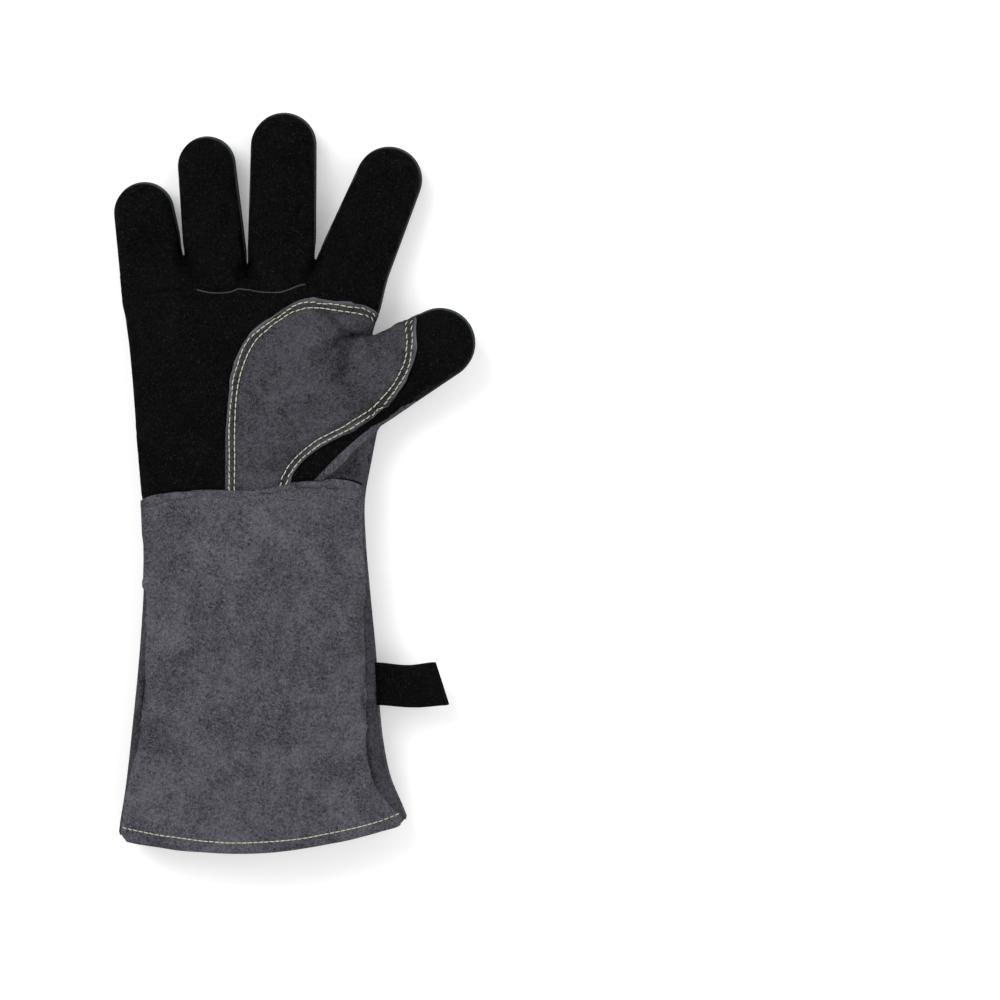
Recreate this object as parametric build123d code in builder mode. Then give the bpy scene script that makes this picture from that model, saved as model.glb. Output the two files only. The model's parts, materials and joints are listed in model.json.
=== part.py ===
from build123d import *
from collections import namedtuple
from math import cos, radians, sin, tan
import os

# Heat resistant gauntlet glove for the right hand, lying on its back with the palm up.
# Millimetres. +Y runs to the fingertips, +X to the thumb side, +Z out of the palm.
# The origin is on the ground, under the middle of the glove's box.

# Leather, lining and seams
LEATHER = 1.5           # thickness of the outer split leather
LINING_GAP = 0.2        # air between the leather and the lining
LINING = 2.4            # thickness of the padded lining
WELT = 1.6              # thickness of the strip sewn into a side seam
WELT_PROUD = 1.0        # how far that strip stands out of the seam
PATCH = 1.4             # thickness of the leather patch on the palm
PATCH_GAP = 0.1         # air under the patch
THREAD = 0.5            # how far a row of stitches stands out
THREAD_WIDTH = 1.0      # width of a row of stitches
BODY_GAP = 0.6          # air between two pieces that bend against each other

# Heights of the rounded forms, and the radius along their edges
FINGER_HEIGHT = 28.0
FINGER_ROUND = 13.5
HAND_SEAM = 16.0        # height of the side seam between the hand's two panels
HAND_ROUND = 12.5
THUMB_TOP = 38.0
THUMB_HEIGHT = 30.0
THUMB_ROUND = 13.8
CUFF_HEIGHT = 46.0
CUFF_ROUND = 21.5

# Knuckle line: each finger takes its width of it, starting at the little finger's outer side.
# Lean is the angle from +Y towards the thumb side. Reach is from the knuckle to the fingertip.
KNUCKLE_START = (-94.0, 101.3)
FINGERS = {
    "little": dict(room=35.5, tip_width=31.0, lean=-8.0, reach=60.6),
    "ring": dict(room=33.5, tip_width=30.0, lean=-5.0, reach=80.8),
    "middle": dict(room=35.5, tip_width=33.0, lean=1.5, reach=93.43),
    "index": dict(room=41.0, tip_width=34.5, lean=19.5, reach=86.0),
}
FINGER_SPLIT = 0.48     # share of a finger's reach at its middle joint

# Thumb, which stands off the ground and runs back into the hand
THUMB_ROOT = (54.5, 61.5)
THUMB_LEAN = 58.5
THUMB_REACH = 48.44
THUMB_TIP_WIDTH = 32.5
THUMB_BACK_WIDTH = 46.0
THUMB_BACK = 38.0       # how far behind the thumb joint its form starts
THUMB_ROOM = 43.0
THUMB_SPLIT = 0.46

# Hand: a rounded section behind the wrist and one beyond the knuckles, joined by a straight loft
HAND_SECTIONS = (
    dict(y=-28.0, left=-81.0, right=36.0, height=41.0),
    dict(y=130.0, left=-95.6, right=50.8, height=26.5),
)

# Cuff: its sides flare towards the hem, which is an arc
WRIST_Y = -4.0
CUFF_LEFT = ((-81.4, 12.0), (-82.6, -86.0), (-96.0, -210.0))
CUFF_RIGHT = ((37.4, 12.0), (42.4, -86.0), (65.4, -210.0))
HEM_ARC = ((-130.0, -183.2), (-29.4, -203.1), (90.0, -176.0))
HEM_FACING = 10.0       # depth of the leather turned in at the mouth
HEM_STITCH = 6.5        # from the mouth's edge to its row of stitches

# Wrist joint: how far the hand bends to the palm side and to the back
WRIST_FLEX = 35.0
WRIST_EXTEND = 20.0
WRIST_HEIGHT = 19.0

# Patch over the palm and the thumb's root: its outline, and its rows of stitches
PATCH_SIDE = ((-36.6, -2.0), (-36.0, 35.0), (-30.0, 74.0), (-12.0, 95.0), (16.0, 101.0), (46.0, 92.0))
PATCH_THUMB = ((70.0, 92.0), (66.0, 64.0), (48.0, 41.0), (20.0, 24.0), (4.0, 10.0), (-2.5, -2.0))
STITCH_ROWS = (1.6, 4.4)

# Loop for hanging the glove, sewn into the cuff's thumb-side seam
LOOP_Y = -110.5
LOOP_WIDTH = 23.6
LOOP_START = 49.4
LOOP_END = 85.0
LOOP_ROOT_RADIUS = 2.2
LOOP_FOLD_RADIUS = 5.2
LOOP_LEATHER = 1.8
LOOP_HEIGHT = CUFF_HEIGHT / 2

BIG = 400.0             # larger than the glove, for cutting planes and boxes
TOP = 50.0              # above every piece
UNDER = -1.0            # below every piece

Digit = namedtuple("Digit", "name plane width tip_width reach back height edge_round split room")


def write_piece(piece, name):
    """Label a finished piece and write its file."""
    piece.part.label = name
    export_step(piece.part, f"parts/{name}.step")


def digit_plane(point, lean, bottom):
    """Plane under a digit: origin at its joint, x across it and y along it."""
    across = (cos(radians(lean)), -sin(radians(lean)), 0)
    return Plane(origin=(*point, bottom), x_dir=across, z_dir=(0, 0, 1))


def make_digits():
    """The four fingers along the knuckle line, the thumb, and the corners of the line."""
    corner = Vector(*KNUCKLE_START)
    corners = [corner]
    digits = []
    for name, size in FINGERS.items():
        lean = radians(size["lean"])
        next_corner = corner + Vector(cos(lean), -sin(lean)) * size["room"]
        middle = (corner + next_corner) / 2
        plane = digit_plane((middle.X, middle.Y), size["lean"], 0)
        width = size["room"] - 2 * WELT_PROUD - BODY_GAP
        reach = size["reach"]
        digits.append(Digit(name, plane, width, size["tip_width"], reach, 0,
                            FINGER_HEIGHT, FINGER_ROUND, reach * FINGER_SPLIT, size["room"]))
        corner = next_corner
        corners.append(corner)
    plane = digit_plane(THUMB_ROOT, THUMB_LEAN, THUMB_TOP - THUMB_HEIGHT)
    digits.append(Digit("thumb", plane, THUMB_BACK_WIDTH, THUMB_TIP_WIDTH, THUMB_REACH,
                        THUMB_BACK, THUMB_HEIGHT, THUMB_ROUND, THUMB_REACH * THUMB_SPLIT,
                        THUMB_ROOM))
    return digits, corners


def digit_form(digit, inset):
    """Rounded solid of a whole digit, drawn in from its outer skin by the inset."""
    tip_radius = digit.tip_width / 2
    with BuildPart() as form:
        with BuildSketch(digit.plane.offset(inset)):
            with Locations((0, -digit.back)):
                Circle(digit.width / 2 - inset)
            with Locations((0, digit.reach - tip_radius)):
                Circle(tip_radius - inset)
            make_hull()
        extrude(amount=digit.height - 2 * inset)
        rims = form.faces().filter_by(Axis.Z).edges()
        fillet(rims, radius=digit.edge_round - inset)
    return form.part


def hand_form(thumb, inset):
    """Rounded solid of the hand with the thumb's root, drawn in by the inset."""
    root = digit_form(thumb, inset)
    with BuildPart() as form:
        for section in HAND_SECTIONS:
            middle = (section["left"] + section["right"]) / 2
            width = section["right"] - section["left"] - 2 * inset
            height = section["height"] - 2 * inset
            plane = Plane(origin=(middle, section["y"], inset + height / 2),
                          x_dir=(1, 0, 0), z_dir=(0, -1, 0))
            with BuildSketch(plane):
                RectangleRounded(width, height, HAND_ROUND - inset)
        loft(ruled=True)
        add(root)
    return form.part


def move_side(points, distance):
    """The points of a side, moved across the glove."""
    return [(x + distance, y) for x, y in points]


def cuff_form(inset):
    """Rounded solid of the cuff, longer than the cuff at both ends."""
    left = move_side(CUFF_LEFT, inset)
    right = move_side(CUFF_RIGHT, -inset)
    with BuildPart() as form:
        with BuildSketch(Plane.XY.offset(inset)):
            with BuildLine():
                ThreePointArc(*left)
                Line(left[-1], right[-1])
                ThreePointArc(*reversed(right))
                Line(right[0], left[0])
            make_face()
        extrude(amount=CUFF_HEIGHT - 2 * inset)
        sides = form.faces().filter_by(Axis.Z, reverse=True).filter_by(Axis.Y, reverse=True)
        rims = sides.edges().filter_by(Plane.XY)
        fillet(rims, radius=CUFF_ROUND - inset)
    return form.part


def cut_piece(outer, inner, zone, low, high, cutters=()):
    """The wall between two forms, kept inside a plan outline and between two heights."""
    with BuildPart() as piece:
        add(outer)
        add(inner, mode=Mode.SUBTRACT)
        extrude(zone.moved(Location((0, 0, low))), amount=high - low, mode=Mode.INTERSECT)
        for cutter in cutters:
            add(cutter, mode=Mode.SUBTRACT)
    return piece


def digit_zone(digit, start, end):
    """Plan outline of a stretch along a digit."""
    plane = Plane(origin=(digit.plane.origin.X, digit.plane.origin.Y, 0),
                  x_dir=digit.plane.x_dir, z_dir=(0, 0, 1))
    with BuildSketch(plane) as zone:
        with Locations((0, (start + end) / 2)):
            Rectangle(BIG / 4, end - start)
    return zone.sketch


def hand_zone(corners):
    """Plan outline of the hand: from the wrist to the bent knuckle line."""
    first = corners[0] + (corners[0] - corners[1]).normalized() * BIG / 4
    last = corners[-1] + (corners[-1] - corners[-2]).normalized() * BIG / 4
    line = [first, *corners[1:-1], last]
    back = BODY_GAP / 2
    points = [(point.X, point.Y - back) for point in line]
    with BuildSketch() as zone:
        with BuildLine():
            Polyline(*points, (last.X, WRIST_Y), (first.X, WRIST_Y), close=True)
        make_face()
    return zone.sketch


def hem_zone(start, end):
    """Plan outline of the cuff between two distances from its mouth."""
    low = [(x, y + start) for x, y in HEM_ARC]
    with BuildSketch() as zone:
        with BuildLine():
            ThreePointArc(*low)
            Line(low[-1], (low[-1][0], min(end + HEM_ARC[-1][1], WRIST_Y)))
            if end < BIG / 4:
                ThreePointArc(*[(x, y + end) for x, y in HEM_ARC])
            else:
                Line((low[-1][0], WRIST_Y), (low[0][0], WRIST_Y))
            Line((low[0][0], min(end + HEM_ARC[0][1], WRIST_Y)), low[0])
        make_face()
    return zone.sketch


def patch_zone():
    """Plan outline of the patch over the palm and the thumb's root."""
    with BuildSketch() as zone:
        with BuildLine():
            side = Spline(*PATCH_SIDE)
            Line(side @ 1, PATCH_THUMB[0])
            thumb = Spline(*PATCH_THUMB)
            Line(thumb @ 1, side @ 0)
        make_face()
    return zone.sketch


def edge_strip(points, distance):
    """Plan outline of the strip on both sides of an edge of the patch, up to the distance."""
    with BuildSketch() as strip:
        with BuildLine():
            Spline(*points)
        trace(line_width=2 * distance)
    return strip.sketch


def stitch_zone():
    """Plan outline of the patch's rows of stitches, which follow its two long edges."""
    with BuildSketch() as rows:
        for edge in (PATCH_SIDE, PATCH_THUMB):
            for distance in STITCH_ROWS:
                add(edge_strip(edge, distance + THREAD_WIDTH) - edge_strip(edge, distance))
        add(patch_zone(), mode=Mode.INTERSECT)
    return rows.sketch


def welt_zone(corners):
    """Plan outline of the strip across the roots of the ring and middle fingers."""
    across = [(corner.X, corner.Y - BODY_GAP / 2) for corner in corners[1:4]]
    below = [(x, y - 2 * WELT_PROUD) for x, y in reversed(across)]
    with BuildSketch() as zone:
        with BuildLine():
            Polyline(*across, *below, close=True)
        make_face()
    return zone.sketch


def wrist_cutter():
    """Two wedges that meet at the wrist's axis, which leave the hand room to bend."""
    flex = tan(radians(WRIST_FLEX / 2))
    extend = tan(radians(WRIST_EXTEND / 2))
    half = BODY_GAP / 2
    rise = BIG / 4
    right_side = [(half, 0), (half + rise * flex, rise)]
    left_side = [(-half - rise * flex, rise), (-half, 0)]
    under = [(-half - rise * extend, -rise), (half + rise * extend, -rise)]
    plane = Plane(origin=(-BIG / 2, WRIST_Y, WRIST_HEIGHT), x_dir=(0, 1, 0), z_dir=(1, 0, 0))
    with BuildPart() as cutter:
        with BuildSketch(plane):
            with BuildLine():
                Polyline(*right_side, *left_side, *under, close=True)
            make_face()
        extrude(amount=BIG)
    return cutter.part


def thumb_cutter(thumb):
    """The space in front of the thumb joint, which the hand leaves to the thumb."""
    plane = Plane(origin=(thumb.plane.origin.X, thumb.plane.origin.Y, -TOP),
                  x_dir=thumb.plane.x_dir, z_dir=(0, 0, 1))
    with BuildPart() as cutter:
        with BuildSketch(plane):
            with Locations((0, -BODY_GAP / 2)):
                Rectangle(thumb.room, BIG / 4, align=(Align.CENTER, Align.MIN))
        extrude(amount=2 * TOP)
    return cutter.part


def make_walls(name, forms, zone, mid, top, cutters=()):
    """Front and back panels, side welt and lining of one stretch of the glove."""
    lining_out = LEATHER + LINING_GAP
    low = mid - WELT / 2
    high = mid + WELT / 2
    front = cut_piece(forms[0], forms[LEATHER], zone, high, top, cutters)
    write_piece(front, name.format("front"))
    back = cut_piece(forms[0], forms[LEATHER], zone, UNDER, low, cutters)
    write_piece(back, name.format("back"))
    welt = cut_piece(forms[-WELT_PROUD], forms[LEATHER], zone, low, high, cutters)
    write_piece(welt, name.format("welt"))
    lining = cut_piece(forms[lining_out], forms[lining_out + LINING], zone, UNDER, top, cutters)
    write_piece(lining, name.format("lining"))


def make_forms(build):
    """The nested forms that the leather, the welts and the lining lie between."""
    insets = (-WELT_PROUD, 0, LEATHER, LEATHER + LINING_GAP, LEATHER + LINING_GAP + LINING)
    return {inset: build(inset) for inset in insets}


def make_digit_pieces(digit):
    """Both stretches of a finger or thumb, parted at its middle joint."""
    forms = make_forms(lambda inset: digit_form(digit, inset))
    mid = digit.plane.origin.Z + digit.height / 2
    half = BODY_GAP / 2
    stretches = {"base": (half, digit.split - half), "tip": (digit.split + half, digit.reach + 2 * WELT_PROUD)}
    for stretch, (start, end) in stretches.items():
        zone = digit_zone(digit, start, end)
        make_walls(f"{digit.name}_{stretch}_{{}}", forms, zone, mid, TOP)


def make_patch(thumb, corners, cutters):
    """The palm patch on the hand, its continuation on the thumb, and their stitching."""
    under = hand_form(thumb, -PATCH_GAP)
    over = hand_form(thumb, -PATCH_GAP - PATCH)
    thread = hand_form(thumb, -PATCH_GAP - PATCH - THREAD)
    low = HAND_SEAM + WELT
    patch = patch_zone() & hand_zone(corners)
    rows = stitch_zone() & hand_zone(corners)
    write_piece(cut_piece(over, under, patch, low, TOP, cutters), "palm_patch")
    write_piece(cut_piece(thread, over, rows, low, TOP, cutters), "palm_patch_stitching")
    half = BODY_GAP / 2
    reach = digit_zone(thumb, half, thumb.split - half)
    low = thumb.plane.origin.Z + thumb.height / 2 + WELT
    over = digit_form(thumb, -PATCH_GAP - PATCH)
    thread = digit_form(thumb, -PATCH_GAP - PATCH - THREAD)
    under = digit_form(thumb, -PATCH_GAP)
    write_piece(cut_piece(over, under, patch_zone() & reach, low, TOP), "thumb_patch")
    write_piece(cut_piece(thread, over, stitch_zone() & reach, low, TOP),
                "thumb_patch_stitching")


def make_hand(thumb, corners):
    """The hand's panels, welts, lining and patch."""
    cutters = (wrist_cutter(), thumb_cutter(thumb))
    forms = make_forms(lambda inset: hand_form(thumb, inset))
    make_walls("hand_{}", forms, hand_zone(corners), HAND_SEAM, TOP, cutters)
    strip = cut_piece(forms[-WELT_PROUD], forms[0], welt_zone(corners),
                      HAND_SEAM, TOP, cutters)
    write_piece(strip, "finger_base_welt")
    make_patch(thumb, corners, cutters)


def make_cuff():
    """The cuff's panels, welts and lining, with the turned-in facing at its mouth."""
    cutters = (wrist_cutter(),)
    forms = make_forms(cuff_form)
    mid = CUFF_HEIGHT / 2
    whole = hem_zone(0, BIG)
    facing = hem_zone(0, HEM_FACING)
    lined = hem_zone(HEM_FACING + LINING_GAP, BIG)
    lining_out = LEATHER + LINING_GAP
    pieces = {
        "cuff_front": (forms[0], forms[LEATHER], whole, mid + WELT / 2, TOP),
        "cuff_back": (forms[0], forms[LEATHER], whole, UNDER, mid - WELT / 2),
        "cuff_side_welts": (forms[-WELT_PROUD], forms[LEATHER], whole, mid - WELT / 2, mid + WELT / 2),
        "cuff_lining": (forms[lining_out], forms[lining_out + LINING], lined, UNDER, TOP),
        "cuff_hem_facing": (forms[lining_out], forms[lining_out + LINING], facing, UNDER, TOP),
    }
    for name, (outer, inner, zone, low, high) in pieces.items():
        write_piece(cut_piece(outer, inner, zone, low, high, cutters), name)
    row = hem_zone(HEM_STITCH, HEM_STITCH + THREAD_WIDTH)
    thread = cut_piece(cuff_form(-THREAD), forms[0], row, mid + 2 * WELT, TOP)
    write_piece(thread, "hem_stitching")


def make_loop():
    """The folded strap that hangs the glove."""
    plane = Plane(origin=(0, LOOP_Y, LOOP_HEIGHT), x_dir=(1, 0, 0), z_dir=(0, -1, 0))
    with BuildPart() as hanging_loop:
        for thickness, mode in ((0, Mode.ADD), (LOOP_LEATHER, Mode.SUBTRACT)):
            with BuildSketch(plane):
                with Locations((LOOP_START + LOOP_ROOT_RADIUS, 0)):
                    Circle(LOOP_ROOT_RADIUS - thickness)
                with Locations((LOOP_END - LOOP_FOLD_RADIUS, 0)):
                    Circle(LOOP_FOLD_RADIUS - thickness)
                make_hull()
            extrude(amount=LOOP_WIDTH / 2, both=True, mode=mode)
    write_piece(hanging_loop, "hanging_loop")


os.makedirs("parts", exist_ok=True)
all_digits, knuckle_corners = make_digits()
for one_digit in all_digits:
    make_digit_pieces(one_digit)
make_hand(all_digits[-1], knuckle_corners)
make_cuff()
make_loop()
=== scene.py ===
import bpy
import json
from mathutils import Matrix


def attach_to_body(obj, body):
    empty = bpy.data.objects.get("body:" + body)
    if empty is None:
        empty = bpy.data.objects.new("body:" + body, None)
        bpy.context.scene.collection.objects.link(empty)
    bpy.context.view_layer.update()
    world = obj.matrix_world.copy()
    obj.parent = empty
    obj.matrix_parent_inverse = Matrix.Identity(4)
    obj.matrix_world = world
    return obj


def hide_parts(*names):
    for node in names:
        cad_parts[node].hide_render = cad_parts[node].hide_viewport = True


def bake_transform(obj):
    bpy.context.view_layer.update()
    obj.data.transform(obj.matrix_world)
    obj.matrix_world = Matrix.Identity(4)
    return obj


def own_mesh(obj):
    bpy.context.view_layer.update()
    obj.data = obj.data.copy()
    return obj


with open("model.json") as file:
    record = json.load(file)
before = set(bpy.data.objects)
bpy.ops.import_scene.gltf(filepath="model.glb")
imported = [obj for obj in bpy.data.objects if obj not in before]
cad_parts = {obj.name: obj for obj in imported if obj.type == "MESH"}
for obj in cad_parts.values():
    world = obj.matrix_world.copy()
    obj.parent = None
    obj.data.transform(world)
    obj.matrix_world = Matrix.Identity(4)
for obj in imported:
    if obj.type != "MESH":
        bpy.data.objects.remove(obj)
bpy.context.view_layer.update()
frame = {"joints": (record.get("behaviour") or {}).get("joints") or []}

import bpy
import json
import math
import numpy as np
from mathutils import Vector
from mathutils.bvhtree import BVHTree
from mathutils.geometry import delaunay_2d_cdt

# Heat resistant glove, lying on its back with the palm up. Dimensions are in millimetres in the
# glove's own frame (+Y to the fingertips, +X to the thumb, +Z out of the palm); meshes are in metres.
MM = 0.001
STEP = 2.0  # spacing of the mesh
LEATHER = 1.3  # thickness of the leather
SWELL = 15.0  # how far from its seams a panel is still pulled in
RNG = np.random.default_rng(7)

# Each digit in plan: centre and radius at its root and at its tip
DIGITS = {
    "little": ((-75.4, 102.0), 18.6, (-82.8, 148.7), 15.9),
    "ring": ((-41.8, 106.0), 17.2, (-48.3, 174.6), 15.2),
    "middle": ((-7.3, 106.0), 18.4, (-5.9, 185.4), 17.4),
    "index": ((24.8, 101.0), 20.6, (52.0, 166.4), 17.7),
    "thumb": ((29.4, 47.4), 23.3, (80.2, 75.9), 18.9),
}
FINGERS = ("little", "ring", "middle", "index")
# Sides of the hand and cuff, as (y, x)
LEFT_SIDE = ((-203, -96.4), (-190, -95.2), (-170, -92.1), (-131, -87.7), (-91, -83.9), (-55, -81.8),
             (-18, -82.2), (21, -85.5), (74, -89.9), (107, -94.3), (125, -95.6))
RIGHT_SIDE = ((-203, 70), (-185, 61.9), (-177, 58.6), (-164, 53.1), (-144, 48.7), (-124, 46.5),
              (-98, 44.8), (-58, 41), (-32, 38.8), (-12, 38.2), (15, 42.6), (28, 45.0), (60, 45.2),
              (81, 42.0), (94, 46.5), (112, 50.5))
PALM_TOP = 112.0
MOUTH_LOW = (-29.5, -203.0)  # lowest point of the mouth's edge
MOUTH_CURVE = 0.00215
WEB_ROUND = {"finger": 1.2, "thumb": 3.5}  # roundness between two digits
CROTCHES = ((-60.2, 124.6), (-25.6, 114.7), (11.3, 121.6))
THUMB_CROTCH = (42.0, 80.9)

# Seams on the palm side
KNUCKLES = ((-99.0, 100.2), (-52.8, 105.7), (-45.2, 104.4), (-38.0, 104.4), (-25.7, 106.4),
            (-15.2, 105.3), (-7.6, 105.1), (6.2, 108.4), (20.0, 104.6), (52.0, 93.0))
ROOT_SEAM = (-52.8, 6.2)  # where the seam across two finger roots starts and ends
CUFF_SEAM = ((-90, -11.5), (-82.2, -9.6), (-75, -7.4), (-61.3, -5), (-47.6, -3.9), (-18.4, -2.5),
             (-2.5, 0.3), (15.1, 2.2), (22.8, 1.9), (33.3, -0.3), (39.9, -3.4), (46, -5.5))
CUFF_BLACK_STRIP = (13.0, 36.5)  # where a black strip shows in the cuff's top seam
BAND_TOP = ((4, -5), (14.4, 6.2), (20.7, 13), (30.2, 21.9), (38.6, 28.8), (51, 36.4), (59, 41.8),
            (66.6, 45.0))
BAND_LOW = ((10, -5), (16, 3), (27, 13), (34.9, 21.9), (43.8, 28), (50, 31))
THUMB_BACK = ((-8, -6), (2, 20), (18, 46), (30, 62), (43.5, 83.5))  # seam on the back of the hand
LEFT_FOLD = ((-52, -81.4), (-60, -79.9), (-94, -80.0), (-120, -81.6), (-150, -86.2), (-180, -92.0),
             (-192, -95.0))
RIGHT_FOLD = ((-44, 39.6), (-60, 39.0), (-99, 40.4), (-126, 41.6), (-155, 43.6), (-172, 49.0),
              (-183, 58.5), (-186, 61.8))

VALLEY_ENDS = ((-72.5, 210.0), (-29.0, 210.0), (33.0, 210.0))
THUMB_LEFT = -21.0  # how far left of its hinge the thumb reaches
VALLEY_FEET = ((-54.0, 106.6), (-25.5, 108.0), (7.0, 109.0))
PUCKER_END = (27.0, 79.5)  # how far the fold in the thumb's crotch reaches in
# Edges of the patch over the palm and thumb: one runs up the palm, the other down the thumb
PATCH_PALM = ((-34.6, -8), (-34.9, 12), (-34.6, 36), (-31.9, 59.8), (-23.8, 78.9), (-10.9, 90.6),
              (5.9, 100.0), (25.4, 98.6), (41.6, 95.6), (51, 87.5))
PATCH_THUMB = ((69, 99), (67.9, 85), (67.4, 70.1), (60.6, 55.3), (48.5, 41), (31.1, 29.4),
               (15.1, 20.8), (2.5, 9.6), (-3.2, -3.5))
PATCH_ROWS = (0, 0.8, 2.1, 3.5, 4.9, 6.5)
RIM_ROWS = (0.45, 1.3, 2.6)  # rows of the mesh beside the side seam

# Soft folds that run out from the thumb's crotch: two ends, depth and width
PATCH_FOLDS = (
    (((31, 80), (15, 95)), 1.3, 2.6),
    (((31, 80), (12, 70)), 1.0, 3.2),
    (((32, 79), (24, 56)), 0.8, 3.6),
    (((30, 80), (40, 81)), 0.6, 1.3),
)

# Heights above the table
CUFF_SEAM_HEIGHT = 20.5
PALM_SEAM_HEIGHT = 17.0
FINGER_SEAM_HEIGHT = 12.6
THUMB_RAISE = 9.0
FLOOR_SOFTNESS = 0.35
TABLE_GAP = 0.02
SIDE_DROP = 6.5  # the side of the hand lies below the band along it

# Relief: depths between digits are shares of the height
SWELL_ROUNDS = 900
FOLD_HEIGHT = 12.0  # height above the side seam from which folds and waves have their full depth
VALLEY_DEPTH, VALLEY_WIDTH = 0.8, 3.4
PUCKER_DEPTH, PUCKER_WIDTH = 0.5, 3.2
SEAM_DIPS = (("knuckles", 0.7, 1.8), ("cuff", 0.6, 2.0), ("left_fold", 1.6, 2.4),
             ("right_fold", 1.6, 2.4))
WAVE_COUNT = 7
FRONT_WAVES = ((52, 0.8, 3), (21, 0.32, 4))  # size, height and seed
BACK_WAVES = ((45, 0.6, 5), (19, 0.3, 6))

# Cloth simulation
CLOTH = {
    "quality": 5, "mass": 0.02, "tension_stiffness": 12, "compression_stiffness": 12,
    "shear_stiffness": 4, "bending_stiffness": 0.4, "tension_damping": 8, "compression_damping": 8,
    "shear_damping": 8, "bending_damping": 1, "air_damping": 6, "use_pressure": True,
    "uniform_pressure_force": 3.0, "shrink_min": -0.05, "shrink_max": -0.05,
    "vertex_group_mass": "held", "pin_stiffness": 2,
}
SETTLE_FRAMES = 16
MOST_MOVED = 4.0  # cap on what the cloth simulation moves
SKIN_PAST_SEAM = -0.1  # how far the skin may swell out past its side seam
LYING_HEIGHT = 1.0  # what touches the table stays there

# Layers, trims and the loop
CUFF_LIFT = 1.0  # the cuff's front panel lies over the palm
CUFF_RIM = 3.0  # how far in from its rim the cuff's front panel rises to that
BAND_LIFT = 0.9
BAND_END_Y = 70.0
PATCH_LIFT = 1.5
EDGE_DROP = 0.4  # how far the cut edge of a raised layer is pressed down
ROOM_SHARE = 0.45  # room inside each point, as a share of the glove's height there
OUTER_SHARE = 0.42  # how much of that room the outer face of a layer may use
LINING = 2.6
LINING_GAP = 0.6
LINING_ROUNDS = 8
LINING_START = 8.5  # from the mouth's edge to the lining
FACING = 10.5  # depth of the leather turned in at the mouth
THREAD = 0.6
STITCH_ROWS = (2.1, 4.9)
STITCH_PITCH = 3.3
HEM_ROW = 6.5
HEM_PITCH = 3.0
STITCH_SHARE = 0.97  # length of a stitch as a share of the pitch
STITCH_RINGS = 7
THREAD_END = 0.12
ROUND = np.arange(8) * math.pi / 4  # angles round a thread or a thin strip
WELT_SIDE = np.array([0.62, 0.78])  # the way the side seam's strip stands out furthest
# Section of that strip: out from the seam and up
WELT_SECTION = ((-1.4, -0.9), (0.1, -0.85), (0.6, -0.45), (0.6, 0.45), (0.1, 0.85), (-1.4, 0.9))
SIDE_WALL = (0.1, 0.9)  # from the middle of the seam between two fingers, to both faces
SIDE_WALL_LOW = 0.6
LOOP_TOP_Y, LOOP_LOW_Y = -98.9, -122.2
LOOP_START, LOOP_FOLD = 43.5, (77.6, 85.0)
LOOP_SAG = (2.3, 1.3)  # how far its upper and lower edges hang down halfway
LOOP_Z = 22.5
LOOP_GAP = 3.2  # half the air inside the fold, to the middle of the leather
LOOP_BOW = 1.3  # how far the strap hangs along its middle
LOOP_SLACK = 0.8  # how far the layer underneath shows past the one on top
LOOP_SWAY = 0.28
LOOP_LEATHER = 1.7
LOOP_BEVEL = 0.3
LOOP_ACROSS, LOOP_ALONG = 9, 44
NAP_DEPTH = 0.3
# Brightness of some grey panels as a share of the cuff's front: the patch's own tone, and painted shade
PATCH_SHADE = 0.66
# Painted shade on the side of the hand, which lies low behind the thumb's band
SIDE_PAINTED_SHADE = 0.68
# Painted shade on the cuff's strips beyond the side folds
STRIP_PAINTED_SHADE = 0.6

# The CAD node that each piece stands for, where it stands for one
CAD_NODES = {
    "cuff_front_panel": "cuff_front", "cuff_back_panel": "cuff_back", "palm_leather": "hand_front",
    "back_leather": "hand_back", "patch_palm": "palm_patch", "patch_thumb": "thumb_patch",
    "cuff_fleece": "cuff_lining", "hand_fleece": "hand_lining", "hem_facing": "cuff_hem_facing",
    "patch_stitches_palm": "palm_patch_stitching", "patch_stitches_thumb": "thumb_patch_stitching",
    "hem_stitches": "hem_stitching", "cuff_welt": "cuff_side_welts", "hand_welt": "hand_welt",
    "finger_root_welt": "finger_base_welt", "loop_strap": "hanging_loop",
}
for digit in DIGITS:
    for layer in ("front", "back", "lining", "welt"):
        CAD_NODES[f"{digit}_lower_{layer}"] = f"{digit}_base_{layer}"
        CAD_NODES[f"{digit}_upper_{layer}"] = f"{digit}_tip_{layer}"

# Where the glove bends: the edges between one moving part and the next
WRIST_BEND = (-30.0, 21.0)
WRIST_SPLIT = 22.0
# Shares of the way from a digit's first hinge to its second: the first bend's start and end, the place
# where its two stretches meet, and the second bend's start and end
FINGER_BEND = (0.02, 0.60, 0.65, 0.70, 1.35)
THUMB_BEND = (0.0, 0.89, 0.94, 0.98, 1.70)

# Room
CAMERA_AT = (113.6, -9.6)
FRAME_WIDTH = 550.0
CAMERA_HEIGHT = 3000.0
MIDDLE_HEIGHT = 20.0  # the frame is as wide as given at the height of the side seam
FLOOR_SIZE = 6.0  # the room is in metres
FLOOR_GLOW = 0.22
FLOOR_COLOUR = (0.9, 0.9, 0.9, 1)
WHITE = (1, 1, 1, 1)
SKY_LIGHT = 0.75
FLOOR_DROP = 200.0  # how far the floor's face at its edge under the wrist runs down; room under the hand to bend back
# Place, size and power of each lamp, in metres and watts
LAMPS = {"key": ((-0.9, 0.9, 1.6), 1.2, 22), "fill": ((1.2, -0.4, 1.5), 1.4, 10)}


def smooth(points):
    """A smooth curve through points, as a function of their first coordinate."""
    t, v = np.array(sorted(points), float).T
    slope = np.gradient(v, t)

    def at(x):
        x = np.clip(x, t[0], t[-1])
        i = np.clip(np.searchsorted(t, x) - 1, 0, len(t) - 2)
        width = t[i + 1] - t[i]
        u = (x - t[i]) / width
        rest = (u - 1) ** 2
        return (v[i] * (1 + 2 * u) * rest + slope[i] * width * u * rest
                + v[i + 1] * u * u * (3 - 2 * u) + slope[i + 1] * width * u * u * (u - 1))
    return at


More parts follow.
